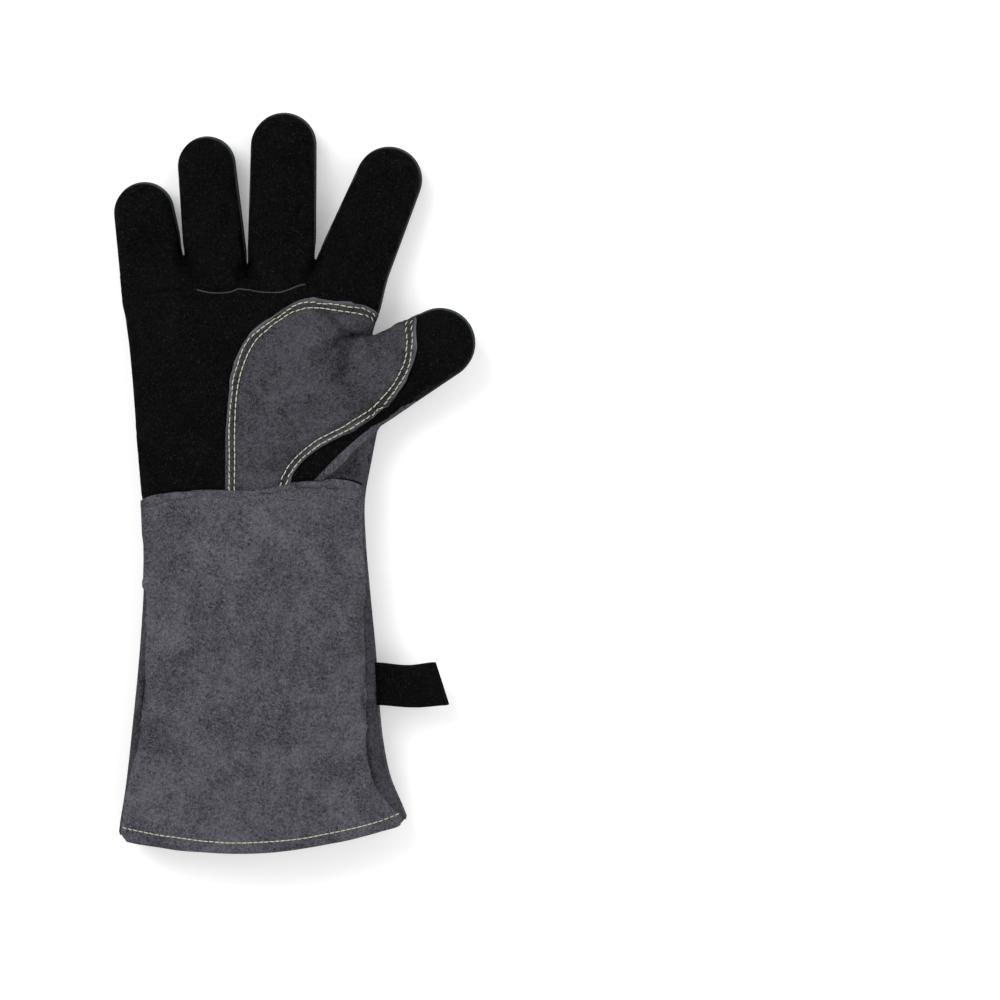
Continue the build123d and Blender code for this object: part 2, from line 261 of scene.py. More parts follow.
def ease(x, start, end):
    """0 before start and 1 after end, with a smooth turn between them."""
    t = np.clip((np.asarray(x, float) - start) / (end - start), 0, 1)
    return t * t * (3 - 2 * t)


def soft_min(a, b, k):
    """The smaller of two distances, rounded where they meet."""
    h = np.maximum(k - np.abs(a - b), 0) / k
    return np.minimum(a, b) - h * h * k / 4


def capsule(p, a, ra, b, rb):
    """Distance to a tapered capsule."""
    a, b = np.array(a), np.array(b)
    axis = b - a
    length = np.hypot(*axis)
    along = (p - a) @ axis / length
    across = np.abs((p - a) @ np.array([-axis[1], axis[0]]) / length)
    slant = (ra - rb) / length
    lean = math.sqrt(1 - slant * slant)
    t = np.clip((along - across * slant / lean) / length, 0, 1)
    return np.hypot(along - t * length, across) - (ra + (rb - ra) * t)


def mouth_y(x):
    """Edge of the cuff's mouth."""
    return MOUTH_LOW[1] + MOUTH_CURVE * (x - MOUTH_LOW[0]) ** 2


left_x, right_x = smooth(LEFT_SIDE), smooth(RIGHT_SIDE)
knuckle_y, cuff_seam_y, band_low_y = smooth(KNUCKLES), smooth(CUFF_SEAM), smooth(BAND_LOW)
left_fold_x, right_fold_x = smooth(LEFT_FOLD), smooth(RIGHT_FOLD)


def glove_distance(p):
    """Distance to the glove's outline in plan, negative inside."""
    x, y = p[:, 0], p[:, 1]
    d = np.maximum.reduce([left_x(y) - x, x - right_x(y), y - PALM_TOP, mouth_y(x) - y])
    for digit, (root, root_radius, tip, tip_radius) in DIGITS.items():
        web = WEB_ROUND["thumb" if digit == "thumb" else "finger"]
        d = soft_min(d, capsule(p, root, root_radius, tip, tip_radius), web)
    return np.maximum(d, mouth_y(x) - y)


def gradient(p, e=0.05):
    """Direction in which the distance to the outline grows."""
    dx = glove_distance(p + [e, 0]) - glove_distance(p - [e, 0])
    dy = glove_distance(p + [0, e]) - glove_distance(p - [0, e])
    return np.stack([dx, dy], 1) / (2 * e)


def lengths(line):
    """How far along a line its points lie."""
    return np.concatenate([[0], np.cumsum(np.hypot(*np.diff(line, axis=0).T))])


def resample(line, step, closed=False):
    """Points at an even spacing along a line."""
    line = np.asarray(line, float)
    if closed:
        line = np.vstack([line, line[:1]])
    along = lengths(line)
    count = max(int(round(along[-1] / step)), 1)
    at = np.linspace(0, along[-1], count + 1)[:count if closed else None]
    return np.stack([np.interp(at, along, line[:, k]) for k in (0, 1)], 1)


def find_outline():
    """The glove's outline in plan, counter-clockwise, as evenly spaced points."""
    xs, ys = np.arange(-110, 110, 1.0), np.arange(-215, 215, 1.0)
    grid = np.stack(np.meshgrid(xs, ys), -1)
    value = glove_distance(grid.reshape(-1, 2)).reshape(len(ys), len(xs))
    inside = value < 0
    links = {}
    mixed = inside[:-1, :-1].astype(int) + inside[1:, :-1] + inside[:-1, 1:] + inside[1:, 1:]
    for j, i in zip(*np.nonzero((mixed > 0) & (mixed < 4))):
        corners = ((j, i), (j, i + 1), (j + 1, i + 1), (j + 1, i))
        cut = [frozenset((a, b)) for a, b in zip(corners, corners[1:] + corners[:1])
               if inside[a] != inside[b]]
        for a, b in zip(cut[::2], cut[1::2]):
            links.setdefault(a, []).append(b)
            links.setdefault(b, []).append(a)
    start = edge = next(iter(links))
    chain, before = [edge], None
    while True:
        ahead = [e for e in links[edge] if e != before]
        before, edge = edge, ahead[0]
        if edge == start:
            break
        chain.append(edge)
    points = []
    for edge in chain:
        a, b = tuple(edge)
        share = value[a] / (value[a] - value[b])
        points.append([xs[a[1]] + share * (xs[b[1]] - xs[a[1]]),
                       ys[a[0]] + share * (ys[b[0]] - ys[a[0]])])
    line = np.array(points)
    for _ in range(3):
        line = line - glove_distance(line)[:, None] * gradient(line)
    x, y = line.T
    if np.sum(x * np.roll(y, -1) - y * np.roll(x, -1)) < 0:
        line = line[::-1]
    return resample(line, STEP, closed=True)


def curve(points, step=STEP):
    """Evenly spaced points along a smooth curve through points."""
    points = np.array(points, float)
    along = lengths(points)
    fine = np.linspace(0, along[-1], 40 * len(points))
    line = np.stack([smooth(zip(along, points[:, k]))(fine) for k in (0, 1)], 1)
    return resample(line, step)


def shifted(line, distance):
    """A line moved to its right by a distance."""
    ahead = np.gradient(line, axis=0)
    ahead = ahead / np.hypot(*ahead.T)[:, None]
    return line + distance * np.stack([ahead[:, 1], -ahead[:, 0]], 1)


def nearest(points, p):
    """The one of points that is nearest to p."""
    return points[np.argmin(np.hypot(*(points - p).T))]


def trimmed(line, ends, above_seam=False, margin=0.6 * STEP):
    """The stretch of a line inside the glove, tied at both ends to the nearest of some points."""
    inside = glove_distance(line) < -margin
    if above_seam:
        inside &= line[:, 1] > cuff_seam_y(line[:, 0]) + 0.6 * STEP
    kept = line[inside]
    return np.vstack([nearest(ends, kept[0]), kept, nearest(ends, kept[-1])])


def from_x(table):
    """A line given as y for each x."""
    x = np.arange(table[0][0], table[-1][0], 0.5)
    return resample(np.stack([x, smooth(table)(x)], 1), STEP)


def from_y(table):
    """A line given as x for each y."""
    y = np.arange(table[-1][0], table[0][0], STEP)
    return np.stack([smooth(table)(y), y], 1)


outline = find_outline()
seams = {"cuff": trimmed(from_x(CUFF_SEAM), outline), "knuckles": trimmed(from_x(KNUCKLES), outline)}
side_ends = np.vstack([outline, seams["cuff"]])
seams["lining_edge"] = trimmed(from_x([(x, mouth_y(x) + LINING_START) for x in range(-100, 81, 4)]),
                               outline)
for name, points in (("band_top", BAND_TOP), ("band_low", BAND_LOW), ("thumb_back", THUMB_BACK)):
    seams[name] = trimmed(curve(points), side_ends, above_seam=True, margin=0.2)
for name, table in (("left_fold", LEFT_FOLD), ("right_fold", RIGHT_FOLD)):
    line = from_y(table)
    line = line[line[:, 1] < cuff_seam_y(line[:, 0]) - 0.6 * STEP]
    seams[name] = trimmed(line, side_ends)
for number, crotch in enumerate(CROTCHES):
    foot = nearest(seams["knuckles"], np.array(VALLEY_FEET[number]))
    seams[f"valley_{number}"] = np.vstack([nearest(outline, np.array(crotch)),
                                           resample([crotch, foot], STEP)[1:]])
for name, points in (("patch_palm", PATCH_PALM), ("patch_thumb", PATCH_THUMB)):
    for row in PATCH_ROWS:
        seams[f"{name}_{row}"] = trimmed(shifted(curve(points), row), side_ends, above_seam=True)


def follow(line, p):
    """From points to a line: the distance, how far along it the nearest place is (0 to 1), and
    whether the points lie to its right."""
    gap, along, right = np.full(len(p), 1e9), np.zeros(len(p)), np.zeros(len(p), bool)
    for i, (a, b) in enumerate(zip(line[:-1], line[1:])):
        ab = b - a
        t = np.clip((p - a) @ ab / max(ab @ ab, 1e-9), 0, 1)
        away = p - a - t[:, None] * ab
        d = np.hypot(*away.T)
        closer = d < gap - 1e-9
        gap[closer], along[closer] = d[closer], (i + t[closer]) / (len(line) - 1)
        right[closer] = (ab[0] * away[closer, 1] - ab[1] * away[closer, 0]) < 0
    return gap, along, right


def make_plan():
    """One triangulation in plan, with every seam in its edges, for the front and the back alike."""
    points, edges = [*outline], [(i, (i + 1) % len(outline)) for i in range(len(outline))]
    for line in seams.values():
        edges += [(len(points) + i, len(points) + i + 1) for i in range(len(line) - 1)]
        points += [*line]
    fixed = np.array(points)
    free = [outline - inset * gradient(outline) for inset in RIM_ROWS]
    row = STEP * math.sqrt(3) / 2
    xs, ys = np.arange(-104, 104, STEP), np.arange(-208, 208, row)
    grid = np.stack(np.meshgrid(xs, ys), -1)
    grid[1::2, :, 0] += STEP / 2
    grid = grid.reshape(-1, 2)
    free.append(grid[glove_distance(grid) < -RIM_ROWS[-1] - 0.6 * STEP])
    for batch in free:
        nearest_fixed = np.array([np.hypot(*(fixed - p).T).min() for p in batch])
        points += [*batch[nearest_fixed > np.minimum(0.62 * STEP, -0.9 * glove_distance(batch))]]
    made = delaunay_2d_cdt([Vector(p) for p in points], edges, [], 1, 1e-5)
    plan, faces = np.array([v[:] for v in made[0]]), np.array(made[2])
    used = np.unique(faces)
    number = np.full(len(plan), -1)
    number[used] = np.arange(len(used))
    plan, faces = plan[used], number[faces]
    a, b, c = (plan[faces[:, k]] for k in range(3))
    turned = np.cross(b - a, c - a) < 0
    faces[turned] = faces[turned][:, ::-1]
    return plan, faces


def edge_pairs(faces):
    """Every side of every face, as pairs of vertex numbers."""
    return np.concatenate([faces[:, [0, 1]], faces[:, [1, 2]], faces[:, [2, 0]]])


def open_edges(faces):
    """The sides that belong to one face only, in that face's direction."""
    pairs = edge_pairs(faces)
    big = faces.max() + 1
    key = pairs[:, 0] * big + pairs[:, 1]
    back = pairs[:, 1] * big + pairs[:, 0]
    return pairs[~np.isin(key, back)]


plan, plan_faces = make_plan()
rim = np.unique(open_edges(plan_faces))
at_mouth = np.zeros(len(plan), bool)
at_mouth[rim] = ((plan[rim, 1] - mouth_y(plan[rim, 0]) < 0.5)
                 & (plan[rim, 0] - left_x(plan[rim, 1]) > 1)
                 & (right_x(plan[rim, 1]) - plan[rim, 0] > 1))
sewn = np.zeros(len(plan), bool)
sewn[rim] = True
sewn &= ~at_mouth


def neighbours(faces, total):
    """Every vertex beside each of its neighbours, as two lists, and how many neighbours it has."""
    pairs = np.unique(np.sort(edge_pairs(faces), 1), axis=0)
    here, there = np.vstack([pairs, pairs[:, ::-1]]).T
    return here, there, np.maximum(np.bincount(here, minlength=total), 1)


def swell(rounds, decay):
    """How the plan swells between its sewn sides: 0 on them, more with the distance, with a limit."""
    here, there, count = neighbours(plan_faces, len(plan))
    gap = np.sum((plan[here] - plan[there]) ** 2, 1)
    size = np.bincount(here, gap, len(plan)) / count / 4
    value = np.zeros(len(plan))
    for _ in range(rounds):
        mean = np.bincount(here, value[there], len(plan)) / count
        value = np.where(sewn, 0.0, (mean + size) / (1 + decay * size))
    return value


def along_digit(digit, p):
    """How far points lie from a digit's first hinge, along it and across it to its right."""
    base, way = HINGES[digit][0][:2], HINGES[digit][2]
    return (p - base) @ way, (p - base) @ np.array([way[1], -way[0]])


def read_hinges():
    """Each digit's two hinges and its direction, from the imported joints."""
    places = {joint["name"]: np.array(joint["pos_m"]) / MM for joint in frame["joints"]}
    found = {}
    for digit in DIGITS:
        base, middle = places[f"{digit}_knuckle"], places[f"{digit}_middle_joint"]
        way = (middle - base)[:2]
        found[digit] = (base, middle, way / np.hypot(*way), np.hypot(*way))
    return found


HINGES = read_hinges()


def waves(p, layers):
    """Gentle random ups and downs, in layers given by their size, height and seed."""
    total = np.zeros(len(p))
    for size, height, seed in layers:
        draw = np.random.default_rng(seed)
        for _ in range(WAVE_COUNT):
            angle, phase = draw.uniform(0, 2 * math.pi, 2)
            way = np.array([math.cos(angle), math.sin(angle)]) / (size * draw.uniform(0.7, 1.5))
            total += height * np.sin(2 * math.pi * (p @ way) + phase)
    return total / math.sqrt(WAVE_COUNT)


def seam_height(p):
    """Height of the side seam: the cuff lies fuller than the fingers, and the thumb is raised."""
    x, y = p.T
    height = CUFF_SEAM_HEIGHT + (PALM_SEAM_HEIGHT - CUFF_SEAM_HEIGHT) * ease(y, -70, 40)
    height += (FINGER_SEAM_HEIGHT - PALM_SEAM_HEIGHT) * ease(y, 60, 135)
    along, right = along_digit("thumb", p)
    return height + THUMB_RAISE * ease(along, -22, 34) * ease(right, -38, -16)


def valley(p, line, width):
    """1 along a line, falling to 0 within about twice the width."""
    gap, along, _ = follow(line, p)
    return np.exp(-(gap / width) ** 2), along


def make_shell():
    """The glove's skin, front and back joined along the side seam and open at the mouth."""
    height = np.sqrt(2 * swell(SWELL_ROUNDS, SWELL ** -2))
    soft = np.clip(height / FOLD_HEIGHT, 0, 1)
    front = back = height
    for number in range(len(CROTCHES)):
        dip, along = valley(plan, seams[f"valley_{number}"], VALLEY_WIDTH)
        deep = 1 - VALLEY_DEPTH * dip * (1 - along) ** 0.8
        front, back = front * deep, back * deep
    dip, along = valley(plan, np.array([THUMB_CROTCH, PUCKER_END]), PUCKER_WIDTH)
    front = front * (1 - PUCKER_DEPTH * dip * (1 - 0.7 * along))
    for fold, depth, width in PATCH_FOLDS:
        dip, along = valley(plan, np.array(fold), width)
        front = front - depth * dip * (1 - along) * soft
    for name, depth, width in SEAM_DIPS:
        front = front - soft * depth * valley(plan, seams[name], width)[0]
    gap = follow(seams["band_low"], plan)[0]
    below = plan[:, 1] < band_low_y(plan[:, 0])
    beyond = np.where(below & (plan[:, 1] > cuff_seam_y(plan[:, 0])), gap, 0)
    front = front - SIDE_DROP * ease(beyond, 0, 3.5) * ease(height, 2, 11) * ease(plan[:, 1], 0, 9)
    front = front + soft * waves(plan, FRONT_WAVES)
    back = back + soft * waves(plan, BACK_WAVES)
    seam = seam_height(plan)
    top = seam + np.maximum(front, 0)
    low = seam - np.maximum(back, 0)
    low = 0.5 * (low + np.sqrt(low * low + 4 * FLOOR_SOFTNESS ** 2))
    number = np.arange(len(plan)) + len(plan)
    number[sewn] = np.nonzero(sewn)[0]
    points = np.vstack([np.column_stack([plan, top]), np.column_stack([plan, low])])
    faces = np.vstack([plan_faces, number[plan_faces][:, ::-1]])
    return points, faces


def unit(vectors):
    """Vectors brought to length one."""
    return vectors / np.maximum(np.linalg.norm(vectors, axis=-1, keepdims=True), 1e-12)


def vertex_normals(points, faces):
    """Smooth normals of a surface."""
    a, b, c = (points[faces[:, k]] for k in range(3))
    flat = np.cross(b - a, c - a)
    total = np.stack([np.bincount(faces.ravel(), np.repeat(flat[:, k], 3), len(points))
                      for k in range(3)], 1)
    return unit(total)


def add_object(name, data):
    """A new object in the scene."""
    made = bpy.data.objects.new(name, data)
    bpy.context.scene.collection.objects.link(made)
    return made


def settle(points, faces):
    """Cloth simulation of the skin: the leather, cut a little larger than it lies, is filled out by
    the fleece inside and held by the seams, so it puckers beside them. Its movement is capped."""
    used, local = np.unique(faces, return_inverse=True)
    local = local.reshape(-1, 3)
    mesh = bpy.data.meshes.new("skin")
    mesh.from_pydata((points[used] * MM).tolist(), [], local.tolist())
    cloth_object = add_object("skin", mesh)
    held = cloth_object.vertex_groups.new(name="held")
    number = np.full(len(points), -1)
    number[used] = np.arange(len(used))
    held.add(number[np.nonzero(sewn)[0]].tolist(), 1.0, "REPLACE")
    lying = np.nonzero(points[used, 2] < LYING_HEIGHT)[0]
    held.add(lying.tolist(), 0.6, "REPLACE")
    modifier = cloth_object.modifiers.new("Cloth", "CLOTH")
    cloth = modifier.settings
    for key, value in CLOTH.items():
        setattr(cloth, key, value)
    cloth.effector_weights.gravity = 0
    modifier.point_cache.frame_start, modifier.point_cache.frame_end = 1, SETTLE_FRAMES
    for step in range(1, SETTLE_FRAMES + 1):
        bpy.context.scene.frame_set(step)
    bpy.context.view_layer.update()
    result = cloth_object.evaluated_get(bpy.context.evaluated_depsgraph_get()).to_mesh()
    moved = np.array([v.co[:] for v in result.vertices]) / MM - points[used]
    bpy.data.objects.remove(cloth_object)
    bpy.context.scene.frame_set(1)
    size = np.linalg.norm(moved, axis=1)
    moved *= (np.minimum(size, MOST_MOVED) / np.maximum(size, 1e-9))[:, None]
    near_mouth = ease(points[used, 1] - mouth_y(points[used, 0]), 2, 30)
    moved[:, :2] *= near_mouth[:, None]
    moved[:, 2] *= 0.3 + 0.7 * near_mouth
    settled = points.copy()
    settled[used] += moved
    for _ in range(2):
        past = np.maximum(glove_distance(settled[:, :2]) - SKIN_PAST_SEAM, 0)
        settled[:, :2] -= past[:, None] * gradient(settled[:, :2])
    settled[:, 2] = np.maximum(settled[:, 2], TABLE_GAP)
    return settled


def relaxed(points, faces, rounds):
    """The skin without its small folds, for the lining."""
    here, there, count = neighbours(faces, len(points))
    border = np.unique(open_edges(faces))
    for _ in range(rounds):
        mean = np.stack([np.bincount(here, points[there, k], len(points)) for k in range(3)], 1)
        mean /= count[:, None]
        mean[border] = points[border]
        points = mean
    return points


shell, shell_faces = make_shell()
shell = settle(shell, shell_faces)
skin = vertex_normals(shell, shell_faces)
soft_shell = relaxed(shell, shell_faces, LINING_ROUNDS)
inset = np.tile(-glove_distance(plan), 2)
soft_shell = shell + (soft_shell - shell) * ease(inset, 2, 9)[:, None]
soft_skin = vertex_normals(soft_shell, shell_faces)
soft_shell -= skin * np.maximum(np.sum((soft_shell - shell) * skin, 1), 0)[:, None]
# How deep a layer may reach in: a little under half the glove's height there
room = np.tile(ROOM_SHARE * np.maximum(shell[:len(plan), 2] - shell[len(plan):, 2], 0.4), 2)
room[:len(plan)][sewn] = 99.0


# ---- materials
def shader(name, **values):
    """A material with its constants on the shader's own sockets."""
    material = bpy.data.materials.new(name)
    material.use_nodes = True
    tree = material.node_tree
    surface = tree.nodes["Principled BSDF"]
    for key, value in values.items():
        surface.inputs[key.replace("_", " ")].default_value = value
    return material, tree, surface


def node(tree, kind, values, out=0, **settings):
    """The output of a new node, with its inputs by name or number: numbers, colours or other outputs."""
    made = tree.nodes.new(kind)
    for key, value in settings.items():
        setattr(made, key, value)
    for key, value in values.items():
        if isinstance(value, bpy.types.NodeSocket):
            tree.links.new(value, made.inputs[key])
        else:
            made.inputs[key].default_value = (*value, 1) if isinstance(value, tuple) else value
    return made.outputs[out]


def attribute(tree, name, out="Fac"):
    """An attribute that the mesh carries."""
    return node(tree, "ShaderNodeAttribute", {}, out, attribute_name=name)


def noise(tree, size, detail, roughness, distortion=0.0):
    """Noise with features of about size millimetres. It goes by where a point of the fabric lies at
    rest, so that the grain stays put when the glove bends."""
    values = {"Vector": attribute(tree, "rest", "Vector"), "Scale": 1 / (size * MM), "Detail": detail,
              "Roughness": roughness, "Distortion": distortion}
    return node(tree, "ShaderNodeTexNoise", values, "Fac")


def spanned(tree, value, low, high):
    """A value stretched so that low becomes 0 and high becomes 1."""
    return node(tree, "ShaderNodeMapRange", {"Value": value, "From Min": low, "From Max": high}, "Result")


def maths(tree, kind, a, b):
    """Adds or multiplies two values."""
    return node(tree, "ShaderNodeMath", {0: a, 1: b}, operation=kind)


def mixed(tree, factor, a, b, blend="MIX"):
    """One colour turning into another."""
    return node(tree, "ShaderNodeMix", {0: factor, 6: a, 7: b}, 2, data_type="RGBA", blend_type=blend)


def suede(name, dark, light, fleck, fleck_share, cloud_size=24.0, sheen=0.0, specular=0.08,
          edge=(0.2, 0.2, 0.23)):
    """Napped split leather: soft clouds where the nap lies another way, pale flecks and fine fibres."""
    material, tree, surface = shader(name, Roughness=0.95, Sheen_Weight=sheen, Sheen_Roughness=0.55,
                                     Specular_IOR_Level=specular)
    clouds = spanned(tree, noise(tree, cloud_size, 3, 0.55, 0.6), 0.34, 0.66)
    patches = spanned(tree, noise(tree, cloud_size / 4, 3, 0.6, 0.4), 0.32, 0.68)
    nap = spanned(tree, noise(tree, 1.5, 2, 0.6, 0.5), 0.3, 0.7)
    fibre = spanned(tree, noise(tree, 0.85, 1, 0.5, 1.5), 0.32, 0.68)
    amount = maths(tree, "MULTIPLY", clouds, 0.17)
    for layer, share in ((patches, 0.13), (nap, 0.28), (fibre, 0.42)):
        amount = maths(tree, "ADD", amount, maths(tree, "MULTIPLY", layer, share))
    colour = mixed(tree, spanned(tree, amount, 0.22, 0.78), dark, light)
    flecks = spanned(tree, noise(tree, 0.9, 1, 0.6), 0.62, 0.74)
    colour = mixed(tree, maths(tree, "MULTIPLY", flecks, fleck_share), colour, fleck)
    colour = mixed(tree, attribute(tree, "worn"), colour, edge)
    # shade darkens the colour: a panel's own tone, and painted shade in folds and turned-away parts
    colour = mixed(tree, 1.0, colour, attribute(tree, "shade"), "MULTIPLY")
    tree.links.new(colour, surface.inputs["Base Color"])
    relief = maths(tree, "MULTIPLY", maths(tree, "ADD", nap, fibre), 0.5)
    normal = node(tree, "ShaderNodeBump", {"Height": relief, "Distance": NAP_DEPTH * MM, "Strength": 1.0})
    tree.links.new(normal, surface.inputs["Normal"])
    return material


BLACK = suede("black_suede_nap", (0.0003, 0.0003, 0.0004), (0.0042, 0.0040, 0.0045),
              (0.030, 0.030, 0.032), 0.5, specular=0.05, edge=(0.03, 0.04, 0.045))
# Painted highlight: the welts' pale teal-grey stands for rim light on black leather
WELT_AND_RIM_LIGHT = suede("welt_leather_and_rim_light", (0.03, 0.04, 0.045), (0.06, 0.075, 0.08), (0.1, 0.12, 0.125), 0.3,
             sheen=0.05)
FLEECE = suede("lining_fleece", (0.26, 0.245, 0.21), (0.42, 0.4, 0.35), (0.55, 0.53, 0.47), 0.5,
               cloud_size=12)
THREAD_PALE = suede("thread_pale", (0.40, 0.39, 0.28), (0.66, 0.65, 0.49), (0.75, 0.74, 0.6), 0.3,
                    cloud_size=2)
GREY = suede("grey_suede_nap", (0.017, 0.017, 0.021), (0.118, 0.115, 0.136), (0.19, 0.188, 0.22), 0.45)


# ---- pieces
def bend_of(digit):
    """Where a digit bends."""
    return THUMB_BEND if digit == "thumb" else FINGER_BEND


def find_regions(p):
    """Which moving stretch of the glove each point in plan belongs to."""
    x, y = p.T
    region = np.full(len(p), "hand", dtype=object)
    region[y < WRIST_SPLIT] = "heel"
    region[y < cuff_seam_y(x)] = "cuff"
    beyond = y > knuckle_y(x)
    gaps = []
    for crotch, foot, end in zip(CROTCHES, VALLEY_FEET, VALLEY_ENDS):
        gaps.append(np.interp(y, (foot[1], crotch[1], end[1]), (foot[0], crotch[0], end[0])))
    finger = np.array(FINGERS, dtype=object)[sum((x > gap).astype(int) for gap in gaps)]
    along, right = along_digit("thumb", p)
    on_thumb = (along > 0) & (right > THUMB_LEFT)
    for digit in DIGITS:
        mine = on_thumb if digit == "thumb" else beyond & (finger == digit) & ~on_thumb
        along = along_digit(digit, p)[0] / HINGES[digit][3]
        split = bend_of(digit)[2]
        region[mine] = np.where(along[mine] > split, digit + "_tip", digit + "_base")
    return region


plan_centres = plan[plan_faces].mean(1)
plan_regions = find_regions(plan_centres)
region_of = np.concatenate([plan_regions, plan_regions])
on_front = np.arange(len(shell_faces)) < len(plan_faces)
centres = np.vstack([plan_centres, plan_centres])
cx, cy = centres.T
in_heel_or_hand = np.isin(region_of, ["heel", "hand"])
in_left_strip = (cx < left_fold_x(cy)) & (cy < LEFT_FOLD[0][0]) & (cy > LEFT_FOLD[-1][0])
in_right_strip = (cx > right_fold_x(cy)) & (cy < RIGHT_FOLD[0][0]) & (cy > RIGHT_FOLD[-1][0])
between_folds = ~in_left_strip & ~in_right_strip
patch_edges = {"palm": curve(PATCH_PALM, 1.0), "thumb": curve(PATCH_THUMB, 1.0)}
on_thumb = np.char.startswith(region_of.astype(str), "thumb")
on_cuff = region_of == "cuff"
past_top, past_low, past_back, past_palm, past_thumb = (
    follow(line, centres)[2] for line in (seams["band_top"], seams["band_low"], seams["thumb_back"],
                                          patch_edges["palm"], patch_edges["thumb"]))
on_band = on_front & ~on_cuff & (cy < BAND_END_Y) & past_top
on_side = on_band & in_heel_or_hand & past_low
on_band &= ~on_side
behind_thumb = ~on_front & ~on_cuff & (on_thumb | past_back)
behind_thumb &= ~np.isin(region_of, ["index_base", "index_tip"])
on_patch = on_front & ~on_cuff & (on_thumb | past_palm) & past_thumb


def attach(piece, region):
    """Ties a piece of the hand or the loop to that body; any other piece has its transform applied and
    stays put.
    """
    if region in ("hand", "hanging_loop"):
        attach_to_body(piece, region)
        return
    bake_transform(piece)


def make_piece(name, region, points, faces, material, normals=None, shade=None, worn=None):
    """A piece from millimetres, tied to its body where attach ties it, with corner normals and the
    attributes its material reads."""
    mesh = bpy.data.meshes.new(name)
    mesh.from_pydata((points * MM).tolist(), [], [list(map(int, f)) for f in faces])
    mesh.polygons.foreach_set("use_smooth", np.ones(len(mesh.polygons), bool))
    if normals is not None:
        mesh.normals_split_custom_set(normals.tolist())
    mesh.attributes.new("rest", "FLOAT_VECTOR", "POINT").data.foreach_set("vector", (points * MM).ravel())
    # shade: a panel's own tone and painted shade; worn: the lighter cut edge
    for key, values, default in (("shade", shade, 1.0), ("worn", worn, 0.0)):
        values = np.full(len(points), default) if values is None else values
        mesh.attributes.new(key, "FLOAT", "POINT").data.foreach_set("value", values.astype(np.float32))
    mesh.materials.append(material)
    piece = add_object(name, mesh)
    if name in CAD_NODES:
        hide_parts(CAD_NODES[name])
    attach(piece, region)
    return piece


def kept_inside(points, wanted, gap):
    """Some of the points moved to at least a gap inside the skin."""
    tree = BVHTree.FromPolygons(shell.tolist(), shell_faces.tolist())
    for _ in range(3):
        for i in wanted:
            place, normal, _, _ = tree.find_nearest(points[i])
            past = (Vector(points[i]) - place).dot(normal) + gap[i]
            if past > 0:
                points[i] -= past * np.array(normal)
    return points


def make_layer(chosen, names, material, lift=0.0, depth=LEATHER, rounding=0.0, shade=None, worn=None,
               base=None):
    """Panels of one material cut from the skin: their outer face is lift above it, their inner face
    depth below it, and each stretch in names becomes a piece of its own with closed edges."""
    faces = shell_faces[chosen]
    regions = region_of[chosen]
    lift = np.broadcast_to(np.asarray(lift, float), len(shell)).copy()
    border = np.unique(open_edges(faces))
    lift[border] -= rounding
    points, normals = base or (shell, skin)
    outer = points + normals * np.maximum(lift, -OUTER_SHARE * room)[:, None]
    inner = points - normals * np.minimum(depth, room)[:, None]
    if base:
        wanted = np.unique(faces)
        outer = kept_inside(outer, wanted, np.minimum(LEATHER + 0.4, 0.4 * room))
        inner = kept_inside(inner, wanted, np.minimum(LEATHER + 1.8, 0.8 * room))
    smooth_out = vertex_normals(outer, faces)
    smooth_in = -vertex_normals(inner, faces)
    for region, name in names.items():
        mine = faces[regions == region]
        if not len(mine):
            continue
        used, local = np.unique(mine, return_inverse=True)
        local = local.reshape(-1, 3)
        count = len(used)
        rimmed = open_edges(local)
        walls = np.column_stack([rimmed + count, rimmed[:, ::-1]])
        points = np.vstack([outer[used], inner[used]])
        a, b, c, _ = (points[walls[:, k]] for k in range(4))
        wall_normals = unit(np.cross(b - a, c - a))
        normals = np.vstack([smooth_out[used][local].reshape(-1, 3),
                             smooth_in[used][local[:, ::-1]].reshape(-1, 3),
                             np.repeat(wall_normals, 4, axis=0)])
        piece_faces = [*local, *(local[:, ::-1] + count), *walls]
        values = [None if v is None else np.concatenate([v[used], v[used]]) for v in (shade, worn)]
        make_piece(name, region, points, piece_faces, material, normals, *values)


def digit_names(end, **names):
    """Names of a layer's pieces, one for each stretch of the glove."""
    for digit in DIGITS:
        names[digit + "_base"] = f"{digit}_lower_{end}"
        names[digit + "_tip"] = f"{digit}_upper_{end}"
    return names


def build_leather():
    """The leather panels."""
    front_cuff = on_cuff & on_front & between_folds
    lifted = np.zeros(len(shell))
    inner = np.unique(shell_faces[front_cuff])
    lifted[inner] = CUFF_LIFT * ease(-glove_distance(plan[inner]), 0, CUFF_RIM)
    make_layer(front_cuff, {"cuff": "cuff_front_panel"}, GREY, lifted, rounding=EDGE_DROP)
    # Painted shade on the back panel's strips that show beyond the folds on the front
    strip = np.ones(len(shell))
    strip[np.unique(shell_faces[on_cuff & on_front & ~between_folds])] = STRIP_PAINTED_SHADE
    make_layer(on_cuff & ~front_cuff, {"cuff": "cuff_back_panel"}, GREY, shade=strip)
    names = digit_names("front", heel="palm_heel", hand="palm_leather")
    make_layer(on_front & ~on_cuff & ~on_band & ~on_side, names, BLACK)
    names = {"heel": "thumb_band_heel", "hand": "thumb_band", "thumb_base": "thumb_band_end"}
    make_layer(on_band, names, GREY, BAND_LIFT, rounding=EDGE_DROP)
    names = {"heel": "hand_side_heel", "hand": "hand_side"}
    # The side of the hand is darkened as painted shade
    make_layer(on_side, names, GREY, shade=np.full(len(shell), SIDE_PAINTED_SHADE))
    names = digit_names("back", heel="back_heel", hand="back_leather")
    make_layer(~on_front & ~on_cuff & ~behind_thumb, names, BLACK)
    make_layer(behind_thumb, digit_names("back", heel="thumb_back_heel", hand="thumb_back"), GREY)


